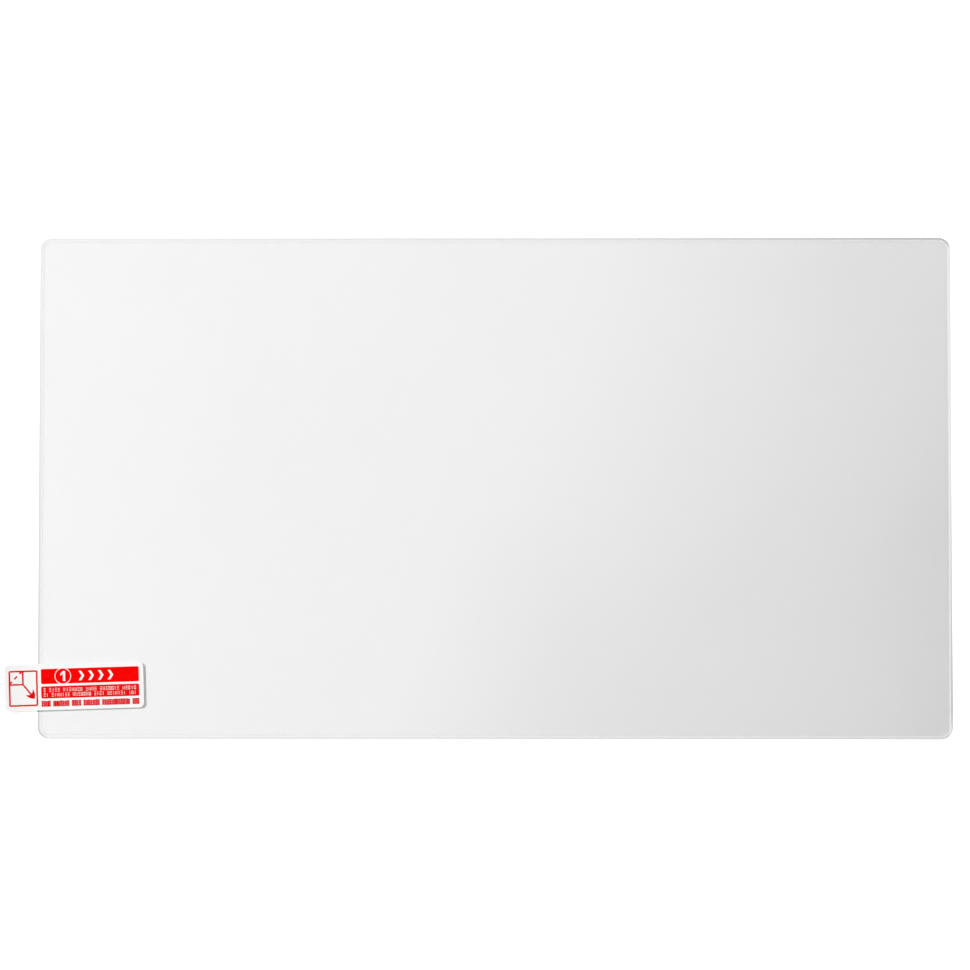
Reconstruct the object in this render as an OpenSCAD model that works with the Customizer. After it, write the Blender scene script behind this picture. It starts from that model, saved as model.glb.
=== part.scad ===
// Tempered glass screen protector for a handheld game console, as it comes
// out of its wrapper. The glass lies on its front face. A layer of adhesive
// covers its back, a release liner covers the adhesive, and a printed pull
// tab is stuck on the liner and hangs over one short side.
// The origin is the middle of the glass's front face. X runs along the glass,
// Y across it, and Z from the front face up to the liner. Units: millimetres.

/* [Glass] */
// Length of the glass
glass_length = 170; // [120:0.5:260]
// Width of the glass
glass_width = 93.4; // [60:0.2:180]
// Thickness of the glass
glass_thickness = 0.33; // [0.32:0.01:0.7]
// Radius of the glass's corners, seen from above
glass_corner_r = 2.25; // [1.5:0.05:8]

/* [Glass edge] */
// Width of the rounded edge round the front face
edge_width = 0.8; // [0.4:0.05:1.2]
// Height that the rounded edge rises from the front face
edge_rise = 0.18; // [0.05:0.01:0.2]
// Width of the fine chamfer round the back face
back_chamfer = 0.08; // [0.02:0.01:0.1]

/* [Adhesive and liner] */
// Glass left bare round the adhesive
adhesive_inset = 0.75; // [0.55:0.05:1]
// Thickness of the adhesive
adhesive_thickness = 0.15; // [0.05:0.01:0.3]
// Distance from the glass's edge to the liner's edge
liner_inset = 0.5; // [0.2:0.05:0.5]
// Thickness of the liner
liner_thickness = 0.075; // [0.04:0.005:0.15]

/* [Pull tab] */
// Length of the tab, from its loose end to its stuck end
tab_length = 25.75; // [22:0.25:40]
// Width of the tab
tab_width = 8.55; // [7.8:0.05:14]
// Thickness of the tab
tab_thickness = 0.1; // [0.05:0.01:0.2]
// Radius of the tab's corners
tab_corner_r = 0.95; // [0.3:0.05:2]
// Length of the tab past the glass's short side
tab_overhang = 5.95; // [3:0.05:9]
// Distance from the glass's long side to the middle of the tab
tab_from_side = 9.8; // [7.5:0.05:25]
// Angle between the tab and the glass's long side
tab_tilt = 1.8; // [0:0.1:4]
// Radius that the loose end curls up on
curl_r = 40; // [20:1:120]

/* [Print on the tab] */
// Thickness of the ink
ink_thickness = 0.02; // [0.01:0.005:0.04]
// Bare strip at the tab's loose end
tail_margin = 0.74; // [0.5:0.02:1.2]
// Bare strip at the tab's stuck end
head_margin = 0.84; // [0.5:0.02:1.6]
// Bare strip under the lowest row of print
foot_margin = 0.66; // [0.4:0.02:0.8]
// Width of the column with the picture sign
sign_width = 5.32; // [5:0.02:6]
// Height of the picture sign
sign_height = 6.65; // [6:0.05:6.8]
// Gap between the picture sign and the rows beside it
column_gap = 0.62; // [0.4:0.02:1.2]
// Gap between two rows
row_gap = 0.42; // [0.3:0.02:0.7]
// Height of the top bar, with the numeral
title_bar_height = 2.8; // [2.3:0.05:2.8]
// Height of the middle bar, with two lines of small marks
note_bar_height = 2.25; // [1.6:0.05:2.3]
// Height of the line of small marks under the bars
foot_line_height = 1.1; // [0.6:0.02:1.2]
// Radius of the bars' corners
bar_corner_r = 0.3; // [0.1:0.01:0.4]

/* [Numeral and arrows] */
// Distance from the bars' left end to the middle of the numeral
numeral_from_end = 4.08; // [2:0.02:4.5]
// Height of the numeral
numeral_height = 1.85; // [1.2:0.05:2]
// Width of the numeral's stem
numeral_stem = 0.44; // [0.2:0.02:0.5]
// Reach of the numeral's flag to the left of its stem
numeral_flag = 0.44; // [0.2:0.02:0.5]
// Width of the white ring round the numeral
ring_width = 0.14; // [0.1:0.01:0.5]
// Number of peel arrows in the top bar
arrow_count = 4; // [1:1:4]
// Gap between the ring and the first peel arrow
arrow_start = 1.4; // [0.5:0.05:1.8]
// Distance from one peel arrow to the next
arrow_pitch = 1.8; // [1.3:0.05:1.8]
// Height of a peel arrow
arrow_height = 1.75; // [1:0.05:1.8]
// Length of a peel arrow's stroke along the bar
arrow_stroke = 0.5; // [0.3:0.05:0.6]
// Reach of a peel arrow's point past its back corners
arrow_point = 0.55; // [0.3:0.05:0.7]

/* [Picture sign] */
// Width of the sign's lines
sign_stroke = 0.3; // [0.12:0.01:0.35]
// Side of the folded corner
fold_side = 2.6; // [2:0.05:2.8]
// Length of the arrow, from the folded corner to its tip
peel_length = 3.4; // [2.6:0.05:3.4]
// Angle of the arrow below the horizontal
peel_angle = 52; // [48:1:58]
// Length of the arrow's head
peel_head = 1.65; // [1.2:0.05:1.9]
// Width of the arrow's head
peel_head_width = 1.7; // [1.2:0.05:1.9]
// Depth of the hollow in the back of the arrow's head
peel_notch = 0.55; // [0.2:0.05:0.55]

/* [Small marks] */
// Letters in each mark of the middle bar's upper line
note_upper_words = [4, 6, 3, 7, 2, 5]; // [1:1:9]
// Letters in each mark of the middle bar's lower line
note_lower_words = [5, 3, 8, 4, 6]; // [1:1:9]
// Letters in each mark of the line under the bars
foot_words = [6, 4, 2, 5, 3, 6, 4, 5]; // [1:1:9]
// Height of the middle bar's small marks
note_mark_height = 0.66; // [0.3:0.02:0.68]
// Gap between the middle bar's two lines
note_line_gap = 0.24; // [0.1:0.01:0.26]
// Space from a bar's end to its first small mark
note_end_gap = 0.45; // [0.3:0.05:1]

/* [Hidden] */
$fn = 96;

// Where each dash of the picture sign's crease starts, and how long it is, as
// shares of the crease
crease_dashes = [0.03, 0.4, 0.77];
crease_dash = 0.2;

// Heights of the layers, each on the one below it
adhesive_z = glass_thickness;
liner_z = adhesive_z + adhesive_thickness;
tab_z = liner_z + liner_thickness;

// Radius of the arc of the rounded edge, which meets the front face smoothly
edge_arc_r = (pow(edge_width, 2) + pow(edge_rise, 2)) / (2 * edge_rise);

// The tab curls up from the liner's edge
curl_x = liner_inset - glass_length / 2;
// Longer than the tab from any of its points, for the slab that it is cut from
tab_slab = tab_length + tab_width;

// Middle of the tab before it is tilted
tab_x = tab_length / 2 - tab_overhang - glass_length / 2;
tab_y = tab_from_side - glass_width / 2;

// The print's columns, from the tab's middle
sign_left = tail_margin - tab_length / 2;
rows_left = sign_left + sign_width + column_gap;
rows_width = tab_length / 2 - head_margin - rows_left;

// The print's rows, from the tab's middle
foot_line_y = foot_margin - tab_width / 2;
note_bar_y = foot_line_y + foot_line_height + row_gap;
title_bar_y = note_bar_y + note_bar_height + row_gap;
rows_top = title_bar_y + title_bar_height;
sign_y = (foot_line_y + rows_top - sign_height) / 2;

// The disc round the numeral is as high as its bar
disc_r = title_bar_height / 2;
ring_r = disc_r + ring_width;

// Outlines

module rounded_rectangle(length, width, corner_r) {
    square([length - 2 * corner_r, width], center = true);
    square([length, width - 2 * corner_r], center = true);
    for (x = [-1, 1], y = [-1, 1])
        translate([x * (length / 2 - corner_r), y * (width / 2 - corner_r)])
            circle(corner_r);
}

module rounded_bar(length, width, corner_r) {
    translate([length / 2, width / 2])
        rounded_rectangle(length, width, corner_r);
}

// Sheet that keeps a stated distance from the glass's edge, corners included
module inset_sheet(inset, thickness) {
    linear_extrude(thickness)
        rounded_rectangle(
            glass_length - 2 * inset,
            glass_width - 2 * inset,
            glass_corner_r - inset
        );
}

// Glass

// Section from x = 0 to the glass's edge at x = reach. The arc below rises from
// the front face to the edge, and the corner above it is chamfered.
module edge_section(reach) {
    arc_start = reach - edge_width;
    difference() {
        polygon([
            [0, 0],
            [reach, 0],
            [reach, glass_thickness - back_chamfer],
            [reach - back_chamfer, glass_thickness],
            [0, glass_thickness],
        ]);
        translate([arc_start, 0])
            difference() {
                square([2 * edge_width, edge_rise]);
                translate([0, edge_arc_r])
                    circle(edge_arc_r);
            }
    }
}

// Bar along X whose two long sides have the glass's edge
module edged_bar(length, width) {
    rotate([90, 0, 90])
        linear_extrude(length, center = true) {
            edge_section(width / 2);
            mirror([1, 0])
                edge_section(width / 2);
        }
}

// The edge runs straight along two crossed bars and turns each corner on a
// round piece between them
module tempered_glass() {
    straight_length = glass_length - 2 * glass_corner_r;
    straight_width = glass_width - 2 * glass_corner_r;
    color([0.86, 0.89, 0.88, 0.45]) {
        edged_bar(straight_length, glass_width);
        rotate(90)
            edged_bar(straight_width, glass_length);
        for (x = [-1, 1], y = [-1, 1])
            translate([x * straight_length / 2, y * straight_width / 2, 0])
                rotate_extrude()
                    edge_section(glass_corner_r);
    }
}

// Adhesive and liner

module adhesive_layer() {
    color([0.9, 0.92, 0.92, 0.4])
        translate([0, 0, adhesive_z])
            inset_sheet(adhesive_inset, adhesive_thickness);
}

module release_liner() {
    color([0.93, 0.94, 0.95, 0.4])
        translate([0, 0, liner_z])
            inset_sheet(liner_inset, liner_thickness);
}

// Pull tab

// Section, in X and Z, of a layer that lies flat on the liner and curls up
// past the liner's edge. Its underside is lift above the tab's underside.
module curled_section(lift, thickness) {
    outer_r = curl_r - lift;
    translate([curl_x, tab_z]) {
        translate([0, lift])
            square([tab_slab, thickness]);
        intersection() {
            translate([0, curl_r])
                difference() {
                    circle(outer_r);
                    circle(outer_r - thickness);
                }
            translate([-tab_slab, 0])
                square([tab_slab, curl_r]);
        }
    }
}

// Cuts a flat outline, drawn from the tab's middle, out of such a layer, with
// the tab's place and tilt
module curled_layer(lift, thickness) {
    intersection() {
        translate([tab_x, tab_y, 0])
            rotate(tab_tilt)
                linear_extrude(tab_z + curl_r)
                    children();
        translate([0, tab_y, 0])
            rotate([90, 0, 0])
                linear_extrude(tab_slab, center = true)
                    curled_section(lift, thickness);
    }
}

module pull_tab() {
    color([0.98, 0.98, 0.97])
        curled_layer(0, tab_thickness)
            rounded_rectangle(tab_length, tab_width, tab_corner_r);
}

// Print on the tab

// Numeral 1, centred on the origin, with a flag that slopes down to the left
module numeral_one() {
    top = numeral_height / 2;
    flag_left = -(numeral_flag + numeral_stem) / 2;
    stem_left = flag_left + numeral_flag;
    translate([stem_left, -top])
        square([numeral_stem, numeral_height]);
    polygon([
        [stem_left, top],
        [flag_left, top - numeral_flag],
        [flag_left, top - numeral_flag - numeral_stem],
        [stem_left, top - numeral_stem],
    ]);
}

// Arrow without a shaft, pointing along +X from x = 0
module chevron() {
    half = arrow_height / 2;
    polygon([
        [0, half],
        [arrow_stroke, half],
        [arrow_stroke + arrow_point, 0],
        [arrow_stroke, -half],
        [0, -half],
        [arrow_point, 0],
    ]);
}

// Bar with a numeral in a white ring and a row of white arrows
module title_bar() {
    first_arrow = numeral_from_end + ring_r + arrow_start;
    translate([0, disc_r]) {
        difference() {
            translate([0, -disc_r])
                rounded_bar(rows_width, title_bar_height, bar_corner_r);
            translate([numeral_from_end, 0])
                circle(ring_r);
            for (i = [0 : arrow_count - 1])
                translate([first_arrow + i * arrow_pitch, 0])
                    chevron();
        }
        translate([numeral_from_end, 0])
            difference() {
                circle(disc_r);
                numeral_one();
            }
    }
}

function total(list, count) = count == 0 ? 0 : list[count - 1] + total(list, count - 1);

// Row of plain marks in place of words. Each mark is as long as its letters,
// a letter's width parts it from the next, and the row is length long.
module word_marks(words, length, height) {
    letter = length / (total(words, len(words)) + len(words) - 1);
    for (i = [0 : len(words) - 1])
        translate([(total(words, i) + i) * letter, 0])
            square([words[i] * letter, height]);
}

// Bar with two lines of white marks
module note_bar() {
    line_pitch = note_mark_height + note_line_gap;
    lines_height = line_pitch + note_mark_height;
    lines_length = rows_width - 2 * note_end_gap;
    difference() {
        rounded_bar(rows_width, note_bar_height, bar_corner_r);
        translate([note_end_gap, (note_bar_height - lines_height) / 2]) {
            word_marks(note_lower_words, lines_length, note_mark_height);
            translate([0, line_pitch])
                word_marks(note_upper_words, lines_length, note_mark_height);
        }
    }
}

// Straight line of the picture sign
module sign_line(from, to) {
    run = to - from;
    translate(from)
        rotate(atan2(run[1], run[0]))
            translate([0, -sign_stroke / 2])
                square([norm(run), sign_stroke]);
}

// Arrowhead along +X, with its tip at the origin. Two arcs from the tip to the
// barbs make its sides, and a third one from barb to barb hollows its back.
module swept_head() {
    half_width = peel_head_width / 2;
    side_y = (pow(peel_head, 2) - pow(half_width, 2)) / peel_head_width;
    back_x = (pow(half_width, 2) - pow(peel_notch, 2)) / (2 * peel_notch);
    translate([-peel_head, 0])
        difference() {
            intersection() {
                translate([0, side_y])
                    circle(half_width + side_y);
                translate([0, -side_y])
                    circle(half_width + side_y);
                translate([0, -half_width])
                    square([peel_head, peel_head_width]);
            }
            translate([-back_x, 0])
                circle(back_x + peel_notch);
        }
}

// Sheet with a corner folded over and an arrow that peels it back
module picture_sign() {
    fold = [fold_side, sign_height - fold_side];
    peel_way = [cos(peel_angle), -sin(peel_angle)];
    tip = fold + peel_length * peel_way;
    neck = tip - (peel_head - peel_notch - sign_stroke / 2) * peel_way;
    crease = [fold_side, fold_side];
    difference() {
        rounded_bar(sign_width, sign_height, bar_corner_r);
        translate([sign_stroke, sign_stroke])
            square([sign_width - 2 * sign_stroke, sign_height - 2 * sign_stroke]);
    }
    sign_line([0, fold[1]], fold + [sign_stroke / 2, 0]);
    sign_line(fold - [0, sign_stroke / 2], [fold_side, sign_height]);
    sign_line(fold, neck);
    translate(tip)
        rotate(-peel_angle)
            swept_head();
    for (start = crease_dashes)
        translate([0, fold[1]])
            sign_line(start * crease, (start + crease_dash) * crease);
}

// Ink of the picture sign and the top bar
module pull_tab_print() {
    color([0.86, 0.05, 0.03])
        curled_layer(tab_thickness, ink_thickness) {
            translate([sign_left, sign_y])
                picture_sign();
            translate([rows_left, title_bar_y])
                title_bar();
        }
}

// Ink of the rows of small marks
module pull_tab_notes() {
    color([0.86, 0.05, 0.03])
        curled_layer(tab_thickness, ink_thickness) {
            translate([rows_left, note_bar_y])
                note_bar();
            translate([rows_left, foot_line_y])
                word_marks(foot_words, rows_width, foot_line_height);
        }
}

tempered_glass();
adhesive_layer();
release_liner();
pull_tab();
pull_tab_print();
pull_tab_notes();
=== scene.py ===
# %% [markdown]
# # A glass screen protector, still on its release liner
#
# The real object is a stack of clear sheets with one printed tab. Almost all
# that the eye gets from it is what the glass reflects and a thin line at each
# edge. So this lesson spends its effort on three things: edges of the right
# shape, clear surfaces that know how far their edge is, and a room for them to
# reflect.
#
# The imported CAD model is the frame. It gives every size and place, so a new
# piece asks the frame where it goes.

import math

import bpy
from mathutils import Matrix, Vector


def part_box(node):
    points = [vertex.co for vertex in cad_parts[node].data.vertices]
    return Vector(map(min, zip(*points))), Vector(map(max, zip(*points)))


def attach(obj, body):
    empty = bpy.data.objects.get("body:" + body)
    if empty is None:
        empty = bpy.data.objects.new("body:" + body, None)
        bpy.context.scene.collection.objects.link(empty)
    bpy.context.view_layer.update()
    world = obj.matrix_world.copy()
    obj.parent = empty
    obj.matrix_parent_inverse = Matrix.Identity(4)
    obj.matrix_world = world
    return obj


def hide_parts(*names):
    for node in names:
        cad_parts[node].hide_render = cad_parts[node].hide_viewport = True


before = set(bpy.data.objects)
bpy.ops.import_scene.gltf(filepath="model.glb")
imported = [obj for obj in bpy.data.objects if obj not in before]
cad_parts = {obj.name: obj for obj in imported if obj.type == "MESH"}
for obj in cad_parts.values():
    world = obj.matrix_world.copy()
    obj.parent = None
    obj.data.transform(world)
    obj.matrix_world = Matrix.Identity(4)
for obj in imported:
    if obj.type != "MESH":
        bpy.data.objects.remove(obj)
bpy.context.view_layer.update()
scene = bpy.context.scene
MM = 0.001


# %% [markdown]
# ## Wiring nodes from a script
#
# A tree gets long when each node, link and value takes a line of its own. Two
# small tools keep it readable. A Wire stands for a node's output, and sums on
# wires add the Math nodes that they need, so a formula in a tree reads like a
# formula. The function make adds a node with its options and inputs, and gives
# its output. Both serve geometry and shader trees alike.


# %% Wires
class Wire:
    """A node's output. Sums on it add Math nodes, or Vector Math nodes for a vector."""

    def __init__(self, socket):
        self.socket = socket
        self.tree = socket.id_data

    def __add__(self, other):
        return maths("ADD", self, other)

    def __sub__(self, other):
        return maths("SUBTRACT", self, other)

    def __rsub__(self, other):
        return maths("SUBTRACT", other, self)

    def __neg__(self):
        return self * -1.0

    def __mul__(self, other):
        return maths("MULTIPLY", self, other)

    def __truediv__(self, other):
        return maths("DIVIDE", self, other)


def is_vector(value):
    """Whether a wire or a plain value is a vector."""
    return value.socket.type == "VECTOR" if isinstance(value, Wire) else isinstance(value, tuple)


def maths(operation, *values):
    """The result of a Math node, or of a Vector Math node where a value is a vector."""
    tree = next(value.tree for value in values if isinstance(value, Wire))
    in_space = any(is_vector(value) for value in values)
    node = tree.nodes.new("ShaderNodeVectorMath" if in_space else "ShaderNodeMath")
    node.operation = operation
    for socket, value in zip(node.inputs, values):
        spread_out = in_space and isinstance(value, float)
        feed(socket, (value, value, value) if spread_out else value)
    return first_output(node)


def feed(socket, value):
    """Links a wire to this input, or sets the input's own value."""
    if isinstance(value, Wire):
        socket.id_data.links.new(value.socket, socket)
    else:
        socket.default_value = value


def first_output(node):
    """The node's first output that is in use, as a wire."""
    return Wire(next(socket for socket in node.outputs if socket.enabled))


def wires(sockets):
    """Wires for a node's outputs, by name."""
    return {socket.name: Wire(socket) for socket in sockets}


# %% Nodes
def add(tree, kind, inputs=None, **options):
    """A new node with its options set and its inputs fed by name."""
    node = tree.nodes.new(kind)
    for option, value in options.items():
        setattr(node, option, value)
    for label, value in (inputs or {}).items():
        feed(next(s for s in node.inputs if s.enabled and s.name == label), value)
    return node


def make(tree, kind, inputs=None, output=None, **options):
    """Adds a node and gives one of its outputs: the named one, or the first in use."""
    node = add(tree, kind, inputs, **options)
    return Wire(node.outputs[output]) if output else first_output(node)


def combine(tree, x, y, z):
    """A vector from three numbers."""
    return make(tree, "ShaderNodeCombineXYZ", {"X": x, "Y": y, "Z": z})


def split(vector):
    """The three numbers in a vector."""
    node = add(vector.tree, "ShaderNodeSeparateXYZ", {"Vector": vector})
    return [Wire(socket) for socket in node.outputs]


def moved(geometry, x, y):
    """Geometry moved sideways."""
    places = {"Geometry": geometry, "Translation": combine(geometry.tree, x, y, 0.0)}
    return make(geometry.tree, "GeometryNodeTransform", places)


def joined(tree, parts):
    """Geometry joined from parts, which come out in the order given."""
    node = add(tree, "GeometryNodeJoinGeometry")
    # A join puts its newest link first
    for part in reversed(parts):
        feed(node.inputs[0], part)
    return first_output(node)


# %% Groups
FLOAT, INT, VECTOR = "NodeSocketFloat", "NodeSocketInt", "NodeSocketVector"
GEOMETRY, MATERIAL = "NodeSocketGeometry", "NodeSocketMaterial"
# Points closer than this are one point
WELD = 1e-7


def new_group(name, kind, inputs, outputs):
    """A node group's tree, its inputs as wires and its outputs' sockets, by label.

    Each input is (label, socket type, value) and each output (label, socket type)."""
    tree = bpy.data.node_groups.new(name, kind)
    for label, socket_type, value in inputs:
        socket = tree.interface.new_socket(label, in_out="INPUT", socket_type=socket_type)
        if value is not None:
            socket.default_value = value
    for label, socket_type in outputs:
        tree.interface.new_socket(label, in_out="OUTPUT", socket_type=socket_type)
    given = wires(tree.nodes.new("NodeGroupInput").outputs)
    return tree, given, tree.nodes.new("NodeGroupOutput").inputs


def use_group(tree, group, inputs):
    """Adds a group's node with its inputs fed by name, and gives its outputs by name."""
    in_geometry = tree.bl_idname == "GeometryNodeTree"
    node = tree.nodes.new("GeometryNodeGroup" if in_geometry else "ShaderNodeGroup")
    node.node_tree = group
    for label, value in inputs.items():
        feed(node.inputs[label], value)
    return wires(node.outputs)


def finish_tree(geometry, material, result):
    """Ends a geometry tree: its geometry made real, in its material, as the result."""
    tree = geometry.tree
    real = make(tree, "GeometryNodeRealizeInstances", {"Geometry": geometry})
    painted = {"Geometry": real, "Material": material}
    feed(result, make(tree, "GeometryNodeSetMaterial", painted))
    print(tree.name, len(tree.nodes), "nodes")


def grow(name, tree, values, place=Matrix.Identity(4)):
    """Runs a geometry tree and keeps what it makes as an object with a plain mesh."""
    maker = bpy.data.objects.new(name + " maker", bpy.data.meshes.new(name + " start"))
    scene.collection.objects.link(maker)
    modifier = maker.modifiers.new("shape", "NODES")
    modifier.node_group = tree
    for item in tree.interface.items_tree:
        if item.in_out == "INPUT" and item.name in values:
            modifier[item.identifier] = values[item.name]
    graph = bpy.context.evaluated_depsgraph_get()
    mesh = bpy.data.meshes.new_from_object(maker.evaluated_get(graph))
    bpy.data.objects.remove(maker)
    mesh.name = name
    mesh.transform(place)
    mesh.materials.clear()
    mesh.materials.append(values["Material"])
    mesh.polygons.foreach_set("material_index", [0] * len(mesh.polygons))
    piece = bpy.data.objects.new(name, mesh)
    scene.collection.objects.link(piece)
    print(name, len(mesh.polygons), "faces, painted", mesh.materials[0].name)
    return piece


# %% [markdown]
# ## Surfaces that know how far the edge is
#
# Each clear sheet looks different in a narrow band round its edge: the glass
# is ground there and carries painted shade and a painted lighter band, the
# adhesive ends in a faint wet line, the liner shows where it was cut. One
# shader group measures the distance to the edge of a rounded rectangle, so the
# three materials share it. The way is the usual one: fold the point into one
# quarter, step back by the corner's radius, and measure from there.

# %% Distance to a rounded rectangle's edge
rim_distance, size, out = new_group(
    "rim distance",
    "ShaderNodeTree",
    [("Length", FLOAT, 0.17), ("Width", FLOAT, 0.09), ("Corner Radius", FLOAT, 0.002)],
    [("Distance", FLOAT)],
)
radius = size["Corner Radius"]
straight_x = size["Length"] / 2.0 - radius
straight_y = size["Width"] / 2.0 - radius
place = make(rim_distance, "ShaderNodeTexCoord", output="Object")
corner_centre = combine(rim_distance, straight_x, straight_y, 0.0)
beyond = (maths("ABSOLUTE", place) - corner_centre) * (1.0, 1.0, 0.0)
reach = maths("LENGTH", maths("MAXIMUM", beyond, 0.0))
beyond_x, beyond_y, _ = split(beyond)
inside = maths("MINIMUM", maths("MAXIMUM", beyond_x, beyond_y), 0.0)
feed(out["Distance"], radius - (reach + inside))
print(rim_distance.name, len(rim_distance.nodes), "nodes")

# %% Each sheet's outline
CORNERS = {"tempered_glass": 2.25 * MM, "adhesive_layer": 1.5 * MM, "release_liner": 1.75 * MM}


def outline(node):
    """A sheet's length, width and corner radius, as a tree's inputs."""
    low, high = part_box(node)
    return {
        "Length": high[0] - low[0],
        "Width": high[1] - low[1],
        "Corner Radius": CORNERS[node],
    }


for node in CORNERS:
    print(node, {label: round(value / MM, 2) for label, value in outline(node).items()})


# %% Helpers for materials
def new_material(name):
    """An empty node material and its tree."""
    material = bpy.data.materials.new(name)
    material.use_nodes = True
    material.node_tree.nodes.clear()
    return material, material.node_tree


def finish_material(material, values):
    """Ends a material's tree with a Principled BSDF that takes these values."""
    tree = material.node_tree
    shader = make(tree, "ShaderNodeBsdfPrincipled", values)
    add(tree, "ShaderNodeOutputMaterial", {"Surface": shader})
    print(material.name, len(tree.nodes), "nodes")


def object_place(tree):
    """The place on the piece, in its own coordinates."""
    return make(tree, "ShaderNodeTexCoord", output="Object")


def ramp(value, start, end, low, high):
    """value from start to end becomes low to high, and stays there beyond."""
    limits = {"From Min": start, "From Max": end, "To Min": low, "To Max": high}
    return make(value.tree, "ShaderNodeMapRange", {"Value": value, **limits})


def mix(mask, first, second, kind="RGBA"):
    """first where the mask is 0, second where it is 1."""
    values = {"Factor": mask, "A": first, "B": second}
    return make(mask.tree, "ShaderNodeMix", values, data_type=kind)


def grey(level, green=0.0):
    """A grey, with a trace of green where one is given."""
    return (level, level + green, level, 1.0)


# %% [markdown]
# ## Glass
#
# Tempered glass is clear. Its edge is ground and then polished, which leaves a
# band half a millimetre wide that is a little duller than the rest, with a
# trace of green. On top of that, painted shade darkens the band towards the
# right end, and a painted lighter band runs along the right side. At the very
# brim runs a dark line of painted shade, and it isn't the same all round: it
# grows towards the right end of the far side and down both short sides, and
# the near side has none.
#
# As geometry the line would need a loop of hair-thin faces. A ramp over the
# distance from the edge paints this shade in the material, and each side's own
# ramp says how dark it is from one end to the other.


# %% How dark the painted shade at the brim is
# Distances from a side: where its mask starts and is full, and where the right
# side's line begins and ends its fade towards the near corner
SIDE_START, SIDE_FULL = 2.2 * MM, 1.2 * MM
FADE_START, FADE_END = 5.0 * MM, 1.0 * MM


def at_side(towards, half, along, start, end, low, high):
    """Mask of one side and its corners' near parts: towards counts up to half at the
    side, and the mask goes from low to high as along goes from start to end."""
    near = ramp(towards, half - SIDE_START, half - SIDE_FULL, 0.0, 1.0)
    return near * ramp(along, start, end, low, high)


glass_material, tree = new_material("ground_edge_glass_painted_shade")
x, y, _ = split(object_place(tree))
half_length = outline("tempered_glass")["Length"] / 2.0
half_width = outline("tempered_glass")["Width"] / 2.0
# The dark brim line is painted shade; these masks set its strength on each side
far_side = at_side(y, half_width, x, 0.2 * half_length, half_length, 0.06, 0.92)
left_side = at_side(-x, half_length, y, 0.7 * half_width, -half_width, 0.0, 0.65)
right_side = at_side(x, half_length, y, 0.1 * half_width, -half_width, 0.0, 1.0)
near_end = ramp(y, FADE_START - half_width, FADE_END - half_width, 1.0, 0.25)
right_line = right_side * near_end
brim_shade_strength = maths("MAXIMUM", far_side, maths("MAXIMUM", left_side, right_line))
print("sides", round(half_length / MM, 2), "and", round(half_width / MM, 2), "mm from the middle")

# %% Glass material
# Each band's fade, as distances from the glass's edge
GROUND = (0.45 * MM, 0.6 * MM)
BRIM = (0.25 * MM, 0.48 * MM)
# Where the painted lighter band along the right side starts and is full, from the edge
PAINTED_LIGHT_START, PAINTED_LIGHT_FULL = 0.9 * MM, 0.6 * MM
CLEAR_GLASS = (0.889, 0.889, 0.888, 1.0)
# The colour of the painted shade at the brim
BRIM_SHADE = (0.5, 0.51, 0.505, 1.0)

edge = use_group(tree, rim_distance, outline("tempered_glass"))["Distance"]
ground = ramp(edge, *GROUND, 1.0, 0.0)
# Painted shade: a dark line along the brim, as strong as the side masks say
brim = ramp(edge, *BRIM, 1.0, 0.0) * brim_shade_strength
# Painted shade: the ground band darkens from left to right, and a painted lighter band lies along
# the right side
from_left = ramp(x, -half_length, half_length, 0.0, 1.0)
ground_band_and_painted_shade = mix(from_left, grey(0.865, 0.002), grey(0.72, 0.003))
at_right = ramp(x, half_length - PAINTED_LIGHT_START, half_length - PAINTED_LIGHT_FULL, 0.0, 1.0)
band = mix(at_right, ground_band_and_painted_shade, grey(0.87, 0.003))
finish_material(glass_material, {
    "Base Color": mix(brim, mix(ground, CLEAR_GLASS, band), BRIM_SHADE),
    "Roughness": ground * 0.12,
    "IOR": 1.52,
    "Transmission Weight": 1.0,
})

# %% [markdown]
# ## Adhesive and liner
#
# The adhesive is a soft clear layer. Wetted on to the glass it can't be seen,
# except where it ends. The liner over it is a thin clear film: stiffer, a
# little wavy from being rolled on, with a bright cut edge. Waves in its mesh
# would leave the flat stack, so they are in its shading alone.

# %% Adhesive material
WET_LINE = (0.05 * MM, 0.3 * MM)

adhesive_material, tree = new_material("clear_glue")
edge = use_group(tree, rim_distance, outline("adhesive_layer"))["Distance"]
wet_line = ramp(edge, *WET_LINE, 1.0, 0.0)
finish_material(adhesive_material, {
    "Base Color": mix(wet_line, grey(0.953), (0.915, 0.918, 0.916, 1.0)),
    "Roughness": wet_line * 0.2,
    "IOR": 1.47,
    "Transmission Weight": 1.0,
})

# %% Liner material
CUT_EDGE = (0.02 * MM, 0.2 * MM)
LEAN = 0.045

liner_material, tree = new_material("clear_film")
edge = use_group(tree, rim_distance, outline("release_liner"))["Distance"]
cut_edge = ramp(edge, *CUT_EDGE, 1.0, 0.0)
wave_sizes = {"Vector": object_place(tree), "Scale": 18.0, "Detail": 1.0, "Distortion": 0.6}
waves = make(tree, "ShaderNodeTexNoise", wave_sizes, output="Color")
# The waves are far longer than they are high, so instead of a bump the normal
# itself leans over, by about half a degree
lean = (waves - (0.5, 0.5, 0.5)) * (LEAN, LEAN, 0.0)
wavy_normal = maths("NORMALIZE", make(tree, "ShaderNodeNewGeometry", output="Normal") + lean)
finish_material(liner_material, {
    "Base Color": mix(cut_edge, grey(0.935), grey(0.99)),
    "Roughness": cut_edge * 0.2,
    "IOR": 1.57,
    "Transmission Weight": 1.0,
    "Normal": wavy_normal,
})

# %% [markdown]
# ## Three sheets from one tree
#
# All three sheets follow one rule: a rounded rectangle whose section is the
# same all the way round. So one geometry tree makes them. It draws the outline
# of the flat front face as a curve, sweeps a line of points along it, and then
# puts each of those points where the section says: out along the outline's
# normal, and up. A flat face closes each side.
#
# The section is the glass's: an arc that leaves the front face smoothly, a
# short upright side, and a fine chamfer at the back. A bevelled box would round
# both faces alike, and this way each step is where it belongs. A film has the
# same section, only as small as its cut edge.

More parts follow.
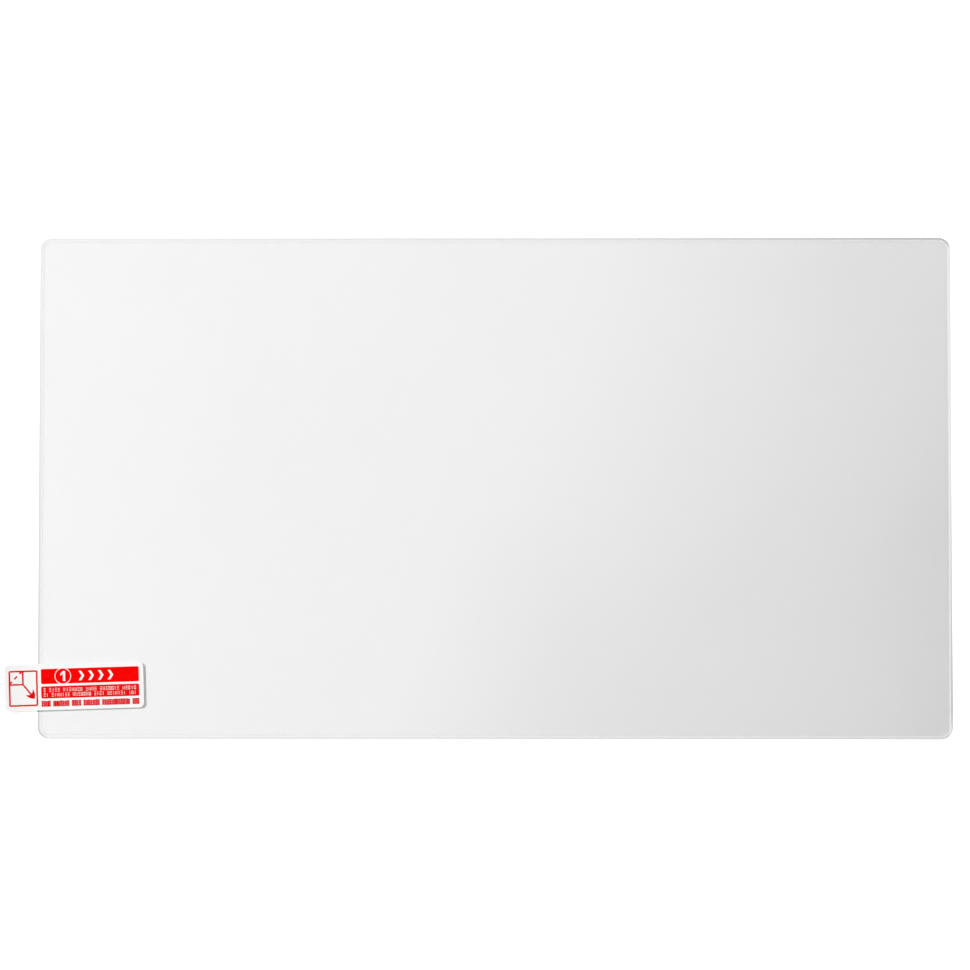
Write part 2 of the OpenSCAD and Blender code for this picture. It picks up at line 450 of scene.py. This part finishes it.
# %% Tree for a sheet with a rounded rim: the sweep
sheet_tree, size, out = new_group(
    "rimmed sheet",
    "GeometryNodeTree",
    [
        ("Length", FLOAT, 0.17),
        ("Width", FLOAT, 0.09),
        ("Corner Radius", FLOAT, 0.002),
        ("Bottom", FLOAT, 0.0),
        ("Top", FLOAT, 0.0003),
        ("Edge Width", FLOAT, 0.0008),
        ("Edge Rise", FLOAT, 0.0002),
        ("Chamfer", FLOAT, 0.00005),
        ("Arc Steps", INT, 8),
        ("Corner Points", INT, 12),
        ("Material", MATERIAL, None),
    ],
    [("Geometry", GEOMETRY)],
)
edge_width, edge_rise, chamfer = size["Edge Width"], size["Edge Rise"], size["Chamfer"]
radius, arc_steps = size["Corner Radius"], size["Arc Steps"]


def remembered(geometry, kind, label, value):
    """Geometry with a value kept on each point, and that value for later nodes."""
    node = add(geometry.tree, "GeometryNodeCaptureAttribute", domain="POINT")
    node.capture_items.new(kind, label)
    feed(node.inputs[0], geometry)
    feed(node.inputs[1], value)
    return Wire(node.outputs[0]), Wire(node.outputs[1])


front_rectangle = make(sheet_tree, "GeometryNodeCurvePrimitiveQuadrilateral", {
    "Width": size["Length"] - edge_width * 2.0,
    "Height": size["Width"] - edge_width * 2.0,
})
front_outline = make(sheet_tree, "GeometryNodeFilletCurve", {
    "Curve": front_rectangle,
    "Count": size["Corner Points"],
    "Radius": radius - edge_width,
}, mode="POLY")
section_line = make(sheet_tree, "GeometryNodeResampleCurve", {
    "Curve": make(sheet_tree, "GeometryNodeCurvePrimitiveLine", {"End": (MM, 0.0, 0.0)}),
    "Count": arc_steps + 3.0,
})
spot = make(sheet_tree, "GeometryNodeInputPosition")
index = make(sheet_tree, "GeometryNodeInputIndex")
path, path_spot = remembered(front_outline, "VECTOR", "spot", spot)
section, step = remembered(section_line, "INT", "step", index)
swept = make(sheet_tree, "GeometryNodeCurveToMesh", {"Curve": path, "Profile Curve": section})
print(sheet_tree.name, "after the sweep", len(sheet_tree.nodes), "nodes")

# %% The section: how far out and how high each step lies
# The arc's radius follows from its width and rise, as in any circle segment
arc_radius = (maths("POWER", edge_width, 2.0) + maths("POWER", edge_rise, 2.0)) / (edge_rise * 2.0)
full_angle = maths("ARCSINE", edge_width / arc_radius)
angle = maths("MINIMUM", step, arc_steps) / arc_steps * full_angle
arc_out = arc_radius * maths("SINE", angle)
arc_height = size["Bottom"] + arc_radius * (1.0 - maths("COSINE", angle))
# The last two steps are the two ends of the chamfer
past_arc = maths("GREATER_THAN", step, arc_steps + 0.5)
at_back = maths("GREATER_THAN", step, arc_steps + 1.5)
section_out = arc_out - at_back * chamfer
side_height = past_arc * (size["Top"] - chamfer - arc_height)
section_up = arc_height + side_height + at_back * chamfer

corner_centre = combine(
    sheet_tree, size["Length"] / 2.0 - radius, size["Width"] / 2.0 - radius, 0.0
)


def pushed_out(geometry, spot, distance, height):
    """Geometry with each spot moved straight out of the outline and set to a height."""
    nearest = maths("MAXIMUM", maths("MINIMUM", spot, corner_centre), -corner_centre)
    outward = maths("NORMALIZE", spot - nearest)
    place = spot + outward * distance + combine(sheet_tree, 0.0, 0.0, height)
    return make(sheet_tree, "GeometryNodeSetPosition", {"Geometry": geometry, "Position": place})


rim = pushed_out(swept, path_spot, section_out, section_up)
print(sheet_tree.name, "with its section", len(sheet_tree.nodes), "nodes")

# %% The flat faces, and the whole sheet
# The flat faces are shaded flat: smooth ones would borrow a tilt from the rim,
# and a reflection shows a tilt of a single degree
filled = make(sheet_tree, "GeometryNodeFillCurve", {"Curve": front_outline}, mode="NGONS")
plain = {"Geometry": filled, "Shade Smooth": False}
flat_face = make(sheet_tree, "GeometryNodeSetShadeSmooth", plain, domain="FACE")
front = pushed_out(flat_face, spot, 0.0, size["Bottom"])
back = pushed_out(flat_face, spot, edge_width - chamfer, size["Top"])
# The sweep and the front face come out facing inwards
outer_rim, outer_front = (
    make(sheet_tree, "GeometryNodeFlipFaces", {"Mesh": part}) for part in (rim, front)
)
whole = joined(sheet_tree, [back, outer_front, outer_rim])
welded = make(sheet_tree, "GeometryNodeMergeByDistance", {"Geometry": whole, "Distance": WELD})
# Edges that turn by more than this, in radians, stay sharp
SHARP = 0.35
edge_angle = make(sheet_tree, "GeometryNodeInputMeshEdgeAngle", output="Unsigned Angle")
creased = make(sheet_tree, "GeometryNodeSetShadeSmooth", {
    "Geometry": welded,
    "Selection": maths("GREATER_THAN", edge_angle, SHARP),
    "Shade Smooth": False,
}, domain="EDGE")
finish_tree(creased, size["Material"], out["Geometry"])

# %% [markdown]
# The sheets touch each other on the real object. In a renderer two faces in
# one plane flicker, so each sheet here stops 4 thousandths of a millimetre
# short of the next one. It is far too little to see, and it stays inside the
# CAD model.

# %% Grow the sheets
HAIR = 0.004 * MM
# Name, CAD node, slot, gaps below and above, and the section
SHEETS = [
    ("glass_pane", "tempered_glass", "clear_glass", 0.0, 0.0, {
        "Edge Width": 0.8 * MM,
        "Edge Rise": 0.18 * MM,
        "Chamfer": 0.08 * MM,
        "Arc Steps": 10,
        "Corner Points": 24,
        "Material": glass_material,
    }),
    ("adhesive", "adhesive_layer", "clear_adhesive", HAIR, HAIR, {
        "Edge Width": 0.05 * MM,
        "Edge Rise": 0.05 * MM,
        "Chamfer": 0.03 * MM,
        "Arc Steps": 4,
        "Corner Points": 20,
        "Material": adhesive_material,
    }),
    ("liner", "release_liner", "liner_film", 0.0, HAIR, {
        "Edge Width": 0.02 * MM,
        "Edge Rise": 0.02 * MM,
        "Chamfer": 0.02 * MM,
        "Arc Steps": 3,
        "Corner Points": 20,
        "Material": liner_material,
    }),
]
for name, node, slot, gap_below, gap_above, section in SHEETS:
    low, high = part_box(node)
    heights = {"Bottom": low[2] + gap_below, "Top": high[2] - gap_above}
    piece = grow(name, sheet_tree, {**outline(node), **heights, **section})
    # A thin clear sheet hardly dims the light that falls on the table, so that
    # light passes it freely
    piece.visible_shadow = False
    piece.visible_diffuse = False
    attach(piece, "root")
    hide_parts(node)

# %% [markdown]
# ## Label and ink
#
# The tab is a white film label with a satin face and a very fine grain. The
# ink is red, printed by pressing a plate on to the label, so it is a shade
# thinner here and there. Both keep their CAD solids, whose curl and outlines
# are right, and get their finish here. The grain is finer than any mesh should
# be, so it is a bump. The ink lies on the label and shows the same grain a
# little softer, so one shader group serves both.

# %% Places on the tab, from the CAD model's values
TAB_MIDDLE_X = -78.075 * MM
TAB_MIDDLE_Y = -36.9 * MM
TAB_TILT = math.radians(1.8)
ROWS_LEFT = -6.195 * MM
NOTE_BAR_Y = -2.095 * MM
NOTE_BAR_HEIGHT = 2.25 * MM
FOOT_LINE_Y = -3.615 * MM
print("tab's middle", [round(v / MM, 3) for v in (TAB_MIDDLE_X, TAB_MIDDLE_Y)])


# %% Fine grain
def noise(tree, scale, detail, roughness=0.5):
    """A noise over the piece, from 0 to 1."""
    looks = {"Scale": scale, "Detail": detail, "Roughness": roughness}
    return make(tree, "ShaderNodeTexNoise", {"Vector": object_place(tree), **looks})


fine_grain, look, out = new_group(
    "fine grain",
    "ShaderNodeTree",
    [
        ("Detail", FLOAT, 2.0),
        ("Smoothest", FLOAT, 0.4),
        ("Roughest", FLOAT, 0.5),
        ("Strength", FLOAT, 0.15),
        ("Depth", FLOAT, 0.000004),
    ],
    [("Roughness", FLOAT), ("Normal", VECTOR)],
)
# The grain's scale, and the noise's usual lowest and highest levels
GRAIN = 9000.0
DIPS, PEAKS = 0.3, 0.7
grain = noise(fine_grain, GRAIN, look["Detail"])
feed(out["Roughness"], ramp(grain, DIPS, PEAKS, look["Smoothest"], look["Roughest"]))
feed(out["Normal"], make(fine_grain, "ShaderNodeBump", {
    "Height": grain,
    "Strength": look["Strength"],
    "Distance": look["Depth"],
}))
print(fine_grain.name, len(fine_grain.nodes), "nodes")

# %% Label material
CLOUD = 260.0
LABEL_WHITE = (0.872, 0.863, 0.848, 1.0)
LABEL_SHADE = (0.852, 0.847, 0.84, 1.0)

label_material, tree = new_material("label_film")
grain = use_group(tree, fine_grain, {
    "Detail": 2.0,
    "Smoothest": 0.42,
    "Roughest": 0.5,
    "Strength": 0.15,
    "Depth": 0.004 * MM,
})
finish_material(label_material, {
    "Base Color": mix(noise(tree, CLOUD, 2.0), LABEL_WHITE, LABEL_SHADE),
    "Roughness": grain["Roughness"],
    "IOR": 1.5,
    "Normal": grain["Normal"],
})

# %% [markdown]
# The narrower the print, the more ink it takes up. The bar with the small marks
# is a deeper red than the wide one above it. The picture sign, left of the
# rows, and the line under the bars are deeper still. The material finds them by
# their place on the label, which is turned back to straight first.

# %% Ink material
BAR_RED = (0.86, 0.0, 0.0, 1.0)
THIN_BAR_RED = (0.82, 0.006, 0.004, 1.0)
NOTE_RED = (0.75, 0.006, 0.005, 1.0)
LINE_RED = (0.66, 0.004, 0.004, 1.0)
# The patches' scale, and the noise's levels where the ink is thick and thin
PATCHES = 1500.0
THICK, THIN = 0.45, 0.75
# Limits in the gaps beside the sign, under the bars and between the bars
SIGN_LIMIT = ROWS_LEFT - 0.3 * MM
FOOT_LIMIT = NOTE_BAR_Y - 0.2 * MM
NOTES_LIMIT = NOTE_BAR_Y + NOTE_BAR_HEIGHT + 0.2 * MM

ink_material, tree = new_material("printed_red")
from_middle = object_place(tree) - (TAB_MIDDLE_X, TAB_MIDDLE_Y, 0.0)
turned_back = {"Vector": from_middle, "Angle": -TAB_TILT}
label_x, label_y, _ = split(
    make(tree, "ShaderNodeVectorRotate", turned_back, rotation_type="Z_AXIS")
)
in_sign = maths("LESS_THAN", label_x, SIGN_LIMIT)
in_foot = maths("LESS_THAN", label_y, FOOT_LIMIT)
in_notes = maths("LESS_THAN", label_y, NOTES_LIMIT)
thin_spots = ramp(noise(tree, PATCHES, 3.0, roughness=0.6), THICK, THIN, 0.0, 1.0)
row_red = mix(in_notes, mix(thin_spots, BAR_RED, THIN_BAR_RED), NOTE_RED)
grain = use_group(tree, fine_grain, {
    "Detail": 1.0,
    "Smoothest": 0.45,
    "Roughest": 0.6,
    "Strength": 0.12,
    "Depth": 0.003 * MM,
})
finish_material(ink_material, {
    "Base Color": mix(maths("MAXIMUM", in_sign, in_foot), row_red, LINE_RED),
    "Roughness": grain["Roughness"],
    "IOR": 1.5,
    "Specular IOR Level": 0.04,
    "Normal": grain["Normal"],
})

# %% Paint the CAD nodes that stay
for node, material in (("pull_tab", label_material), ("pull_tab_print", ink_material)):
    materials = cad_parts[node].data.materials
    materials.clear()
    materials.append(material)
    print(node, "painted", material.name)

# %% [markdown]
# ## Rows of small marks
#
# The label's smallest print is only three millimetres of it, yet the eye
# counts on its rhythm. It is made of small plain forms: a frame, two posts,
# three dashes or one post, with a gap after every few. Instances on a line of
# points are the natural way to lay out such a row, and each point picks one of
# the forms. The random numbers have fixed seeds, so each run gives the same
# rows.

# %% Tree for one line of marks: the forms
marks_tree, size, out = new_group(
    "line of marks",
    "GeometryNodeTree",
    [
        ("Marks", INT, 30),
        ("Length", FLOAT, 0.017),
        ("Height", FLOAT, 0.0006),
        ("Stroke", FLOAT, 0.0001),
        ("Dash", FLOAT, 0.0001),
        ("Fill", FLOAT, 0.7),
        ("Short Share", FLOAT, 0.8),
        ("Narrow Share", FLOAT, 0.8),
        ("Gap Share", FLOAT, 0.2),
        ("Forms", INT, 4),
        ("Seed", INT, 1),
    ],
    [("Curves", GEOMETRY)],
)
pitch = size["Length"] / size["Marks"]
width, height = pitch * size["Fill"], size["Height"]
stroke, dash, seed = size["Stroke"], size["Dash"], size["Seed"]
middle_x, middle_y = width / 2.0, height / 2.0
post_xs = (stroke / 2.0, width - stroke / 2.0)
dash_ys = (dash / 2.0, middle_y, height - dash / 2.0)


def block(x, y, wide, high):
    """The outline of a block with its middle at x, y."""
    sides = {"Width": wide, "Height": high}
    return moved(make(marks_tree, "GeometryNodeCurvePrimitiveQuadrilateral", sides), x, y)


FORMS = {
    "frame": [
        block(middle_x, middle_y, width, height),
        block(middle_x, middle_y, width - stroke * 2.0, height - stroke * 2.0),
    ],
    "two posts": [block(x, middle_y, stroke, height) for x in post_xs],
    "three dashes": [block(middle_x, y, width, dash) for y in dash_ys],
    "one post": [block(middle_x, middle_y, stroke, height)],
}
forms = joined(marks_tree, [
    make(marks_tree, "GeometryNodeGeometryToInstance", {"Geometry": joined(marks_tree, form)})
    for form in FORMS.values()
])
print("forms", list(FORMS))


# %% The line: which form stands where
def random_number(low, high, seed):
    """A random number for each point."""
    limits = {"Min": low, "Max": high, "Seed": seed}
    return make(marks_tree, "FunctionNodeRandomValue", limits)


# Multiples of the golden ratio spread evenly, so gaps taken from them come
# after every few marks and never pile up
GOLDEN = 0.618034
SEED_SHIFT = 0.1
# This share of the marks is the short ones
SHORT_ONES = 0.35
row = {"Count": size["Marks"], "Offset": combine(marks_tree, pitch, 0.0, 0.0)}
index = make(marks_tree, "GeometryNodeInputIndex")
evenly_spread = maths("FRACT", index * GOLDEN + seed * SEED_SHIFT)
is_tall = maths("GREATER_THAN", random_number(0.0, 1.0, seed), SHORT_ONES)
height_share = size["Short Share"] + is_tall * (1.0 - size["Short Share"])
width_share = random_number(size["Narrow Share"], 1.0, seed + 2.0)
marks = make(marks_tree, "GeometryNodeInstanceOnPoints", {
    "Points": make(marks_tree, "GeometryNodeMeshLine", row),
    "Selection": maths("GREATER_THAN", evenly_spread, size["Gap Share"]),
    "Instance": forms,
    "Pick Instance": True,
    "Instance Index": maths("FLOOR", random_number(0.0, size["Forms"], seed + 1.0)),
    "Scale": combine(marks_tree, width_share, height_share, 1.0),
})
feed(out["Curves"], make(marks_tree, "GeometryNodeRealizeInstances", {"Geometry": marks}))
print(marks_tree.name, len(marks_tree.nodes), "nodes")

# %% [markdown]
# A second tree places three of those lines. Two are holes in a red bar, where
# the label shows through, and one is red on the bare label. Filling the bar's
# outline together with the marks' outlines leaves the marks open, and pulling
# the filled shape up by the ink's thickness gives a closed solid.

# %% Tree for the ink of the small marks
notes_tree, size, out = new_group(
    "ink of the small marks",
    "GeometryNodeTree",
    [
        ("Row Length", FLOAT, 0.0179),
        ("Bar Height", FLOAT, 0.00196),
        ("Bar Corner", FLOAT, 0.0003),
        ("End Gap", FLOAT, 0.0005),
        ("Mark Height", FLOAT, 0.0006),
        ("Line Gap", FLOAT, 0.00028),
        ("Foot Height", FLOAT, 0.00097),
        ("Foot Drop", FLOAT, 0.0016),
        ("Ink", FLOAT, 0.00002),
        ("Material", MATERIAL, None),
    ],
    [("Geometry", GEOMETRY)],
)
row_length, bar_height, end_gap = size["Row Length"], size["Bar Height"], size["End Gap"]
mark_height, line_gap = size["Mark Height"], size["Line Gap"]


def solid_ink(outlines):
    """Closed solids of ink over the area that the outlines enclose."""
    curves = {"Curve": joined(notes_tree, outlines)}
    area = make(notes_tree, "GeometryNodeFillCurve", curves, mode="TRIANGLES")
    raised = make(notes_tree, "GeometryNodeExtrudeMesh", {
        "Mesh": area,
        "Offset": (0.0, 0.0, 1.0),
        "Offset Scale": size["Ink"],
        "Individual": False,
    })
    underside = make(notes_tree, "GeometryNodeFlipFaces", {"Mesh": area})
    closed = {"Geometry": joined(notes_tree, [raised, underside]), "Distance": WELD}
    return make(notes_tree, "GeometryNodeMergeByDistance", closed)


sides = {"Width": row_length, "Height": bar_height}
bar = make(notes_tree, "GeometryNodeFilletCurve", {
    "Curve": make(notes_tree, "GeometryNodeCurvePrimitiveQuadrilateral", sides),
    "Count": 6,
    "Radius": size["Bar Corner"],
}, mode="POLY")
note_line = {
    "Length": row_length - end_gap * 2.0,
    "Height": mark_height,
    "Stroke": 0.095 * MM,
    "Dash": 0.095 * MM,
    "Fill": 0.76,
    "Short Share": 0.9,
    "Narrow Share": 0.82,
    "Gap Share": 0.16,
    "Forms": 4,
}
foot_line = {
    "Marks": 42,
    "Length": row_length,
    "Height": size["Foot Height"],
    "Stroke": 0.2 * MM,
    "Dash": 0.345 * MM,
    "Fill": 0.99,
    "Short Share": 0.94,
    "Narrow Share": 0.9,
    "Gap Share": 0.12,
    "Forms": 3,
    "Seed": 6,
}
upper, lower, foot = (
    use_group(notes_tree, marks_tree, line)["Curves"]
    for line in (
        {**note_line, "Marks": 33, "Seed": 4},
        {**note_line, "Marks": 35, "Seed": 9},
        foot_line,
    )
)
lower_y = (bar_height - (mark_height * 2.0 + line_gap)) / 2.0
upper_y = lower_y + (mark_height + line_gap)
bar_ink = solid_ink([
    moved(bar, row_length / 2.0, bar_height / 2.0),
    moved(upper, end_gap, upper_y),
    moved(lower, end_gap, lower_y),
])
foot_ink = solid_ink([moved(foot, 0.0, -size["Foot Drop"])])
finish_tree(joined(notes_tree, [bar_ink, foot_ink]), size["Material"], out["Geometry"])

# %% Grow the small marks
notes_low, notes_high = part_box("pull_tab_notes")
on_tab = Matrix.Translation((TAB_MIDDLE_X, TAB_MIDDLE_Y, notes_low[2]))
turned = Matrix.Rotation(TAB_TILT, 4, "Z")
at_row = Matrix.Translation((ROWS_LEFT, NOTE_BAR_Y, 0.0))
tab_notes = grow("tab_notes", notes_tree, {
    "Row Length": 18.23 * MM,
    "Bar Height": NOTE_BAR_HEIGHT,
    "Bar Corner": 0.3 * MM,
    "End Gap": 0.45 * MM,
    "Mark Height": 0.66 * MM,
    "Line Gap": 0.24 * MM,
    "Foot Height": 1.1 * MM,
    "Foot Drop": NOTE_BAR_Y - FOOT_LINE_Y,
    "Ink": notes_high[2] - notes_low[2],
    "Material": ink_material,
}, place=on_tab @ turned @ at_row)
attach(tab_notes, "root")
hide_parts("pull_tab_notes")

# %% [markdown]
# ## Floor and room
#
# The pane lies on a white table. Seen from above, glass shows two things at
# once: the table through it, and whatever hangs over it. So the room is part
# of the picture: a big soft light to the upper left that fades to a dim
# ceiling at the lower right. One gradient across the sky gives the pane its
# long fall from pale to grey. Far from overhead the room is plain, so that the
# pane is calm in views from the sides.


# %% Floor
def ray_kinds(tree):
    """Masks of what the camera sees straight, and of what glass and gloss show."""
    rays = wires(add(tree, "ShaderNodeLightPath").outputs)
    in_gloss = maths("MAXIMUM", rays["Is Glossy Ray"], rays["Is Transmission Ray"])
    return rays["Is Camera Ray"], in_gloss


floor_material, tree = new_material("white_table")
in_view, in_gloss = ray_kinds(tree)
# The table glows a little, which lifts it to white where the camera sees it
LIFT_IN_VIEW, LIFT_IN_GLOSS = 0.62, 0.05
lift = in_view * LIFT_IN_VIEW + in_gloss * LIFT_IN_GLOSS
paper = make(tree, "ShaderNodeBsdfDiffuse", {"Color": grey(0.85)})
glow = make(tree, "ShaderNodeEmission", {"Color": grey(1.0), "Strength": lift})
lit = add(tree, "ShaderNodeAddShader")
feed(lit.inputs[0], paper)
feed(lit.inputs[1], glow)
add(tree, "ShaderNodeOutputMaterial", {"Surface": first_output(lit)})

FLOOR_DROP = 0.02 * MM
FLOOR_REACH = 3.0
floor_corners = [
    (x * FLOOR_REACH, y * FLOOR_REACH, -FLOOR_DROP)
    for x, y in ((-1.0, -1.0), (1.0, -1.0), (1.0, 1.0), (-1.0, 1.0))
]
floor_mesh = bpy.data.meshes.new("table_top")
floor_mesh.from_pydata(floor_corners, [], [(0, 1, 2, 3)])
floor_mesh.materials.append(floor_material)
table_top = bpy.data.objects.new("table_top", floor_mesh)
scene.collection.objects.link(table_top)
print("table", FLOOR_REACH * 2.0, "m wide")

# %% Where in the sky a ray looks
world = bpy.data.worlds.new("room")
scene.world = world
world.use_nodes = True
tree = world.node_tree
tree.nodes.clear()
way_x, way_y, way_z = split(make(tree, "ShaderNodeTexCoord", output="Generated"))
# Where the ray meets a flat sky one metre up. HORIZON keeps low rays from
# meeting it endlessly far out
HORIZON = 0.02
upward = maths("MAXIMUM", way_z, HORIZON)
across, along = way_x / upward, way_y / upward
# Only the rims see farther out than these, and there the sky turns back or
# stays as it is
FAR_LIMIT, NEAR_LIMIT = 0.13, -0.06
folded = maths("MINIMUM", along, FAR_LIMIT * 2.0 - along)
# Towards the lower right of the picture
DIAGONAL = 0.45
slope = across - maths("MAXIMUM", folded, NEAR_LIMIT) * DIAGONAL
print("room's tree", len(tree.nodes), "nodes")

# %% The sky's level there
# Slopes and levels. The pane shows the falling middle, from above
REACH = 0.8
SKY = [
    (-REACH, 0.7),
    (-0.5, 0.9),
    (-0.3, 1.85),
    (-0.18, 1.62),
    (-0.084, 1.42),
    (-0.024, 1.32),
    (0.072, 0.73),
    (0.15, 0.36),
    (0.198, 0.03),
    (0.3, 0.02),
    (0.55, 0.6),
    (REACH, 0.7),
]
# A colour ramp holds no more than 1, so it holds half of each level
HALF = 0.5
sky = add(tree, "ShaderNodeValToRGB", {"Fac": ramp(slope, -REACH, REACH, 0.0, 1.0)})
stops = sky.color_ramp.elements
for where, level in SKY:
    if where == -REACH:
        stop = stops[0]
    elif where == REACH:
        stop = stops[-1]
    else:
        stop = stops.new((where + REACH) / (2.0 * REACH))
    stop.color = grey(level * HALF)
overhead_level = first_output(sky) * (1.0 / HALF)
# The plain room far from overhead: pale to the left, a little dimmer to the right
PLAIN_START, PLAIN_FULL = 0.6, 1.2
LEFT_WALL, RIGHT_WALL = 0.92, 0.6
from_overhead = maths("LENGTH", combine(tree, across, along, 0.0))
far_out = ramp(from_overhead, PLAIN_START, PLAIN_FULL, 0.0, 1.0)
calm_level = ramp(way_x, -0.4, 0.4, LEFT_WALL, RIGHT_WALL)
sky_level = mix(far_out, overhead_level, calm_level, kind="FLOAT")
print("sky", [(round(stop.position, 2), round(stop.color[0] / HALF, 2)) for stop in stops])

# %% The room's light
# The camera sees white, and matt surfaces get a dim even light from all round
AROUND = 0.25
in_view, in_gloss = ray_kinds(tree)
strength = mix(in_gloss, maths("MAXIMUM", in_view, AROUND), sky_level, kind="FLOAT")
background = make(tree, "ShaderNodeBackground", {"Color": grey(1.0), "Strength": strength})
add(tree, "ShaderNodeOutputWorld", {"Surface": background})

key = bpy.data.lights.new("key", "SUN")
key.energy = 1.07 * math.pi
key.angle = math.radians(6.0)
key_light = bpy.data.objects.new("key", key)
key_light.rotation_euler = (math.radians(-18.5), math.radians(-32.0), 0.0)
# A lamp's own mirror image would make a hard glint in the glass's corner, where
# the soft room should show
key_light.visible_glossy = False
key_light.visible_transmission = False
scene.collection.objects.link(key_light)
print("key light", round(key.energy, 2), "and", AROUND, "from all round")

# %% [markdown]
# ## Camera
#
# The photograph looks almost straight down from about half a metre. The view
# follows from the pane's four corners, which fix the distance and the two
# small leans.

# %% Camera
lens = bpy.data.cameras.new("photo view")
lens.lens = 100.0
lens.sensor_width = 36.0
lens.clip_start = 0.01
lens.clip_end = 20.0
camera = bpy.data.objects.new("photo view", lens)
camera.location = (2.3 * MM, -17.05 * MM, 501.63 * MM)
camera.rotation_euler = [math.radians(a) for a in (2.009, 0.468, 0.016)]
scene.collection.objects.link(camera)
scene.camera = camera
scene.view_settings.view_transform = "Standard"
print("camera", round(camera.location.z, 3), "m up")
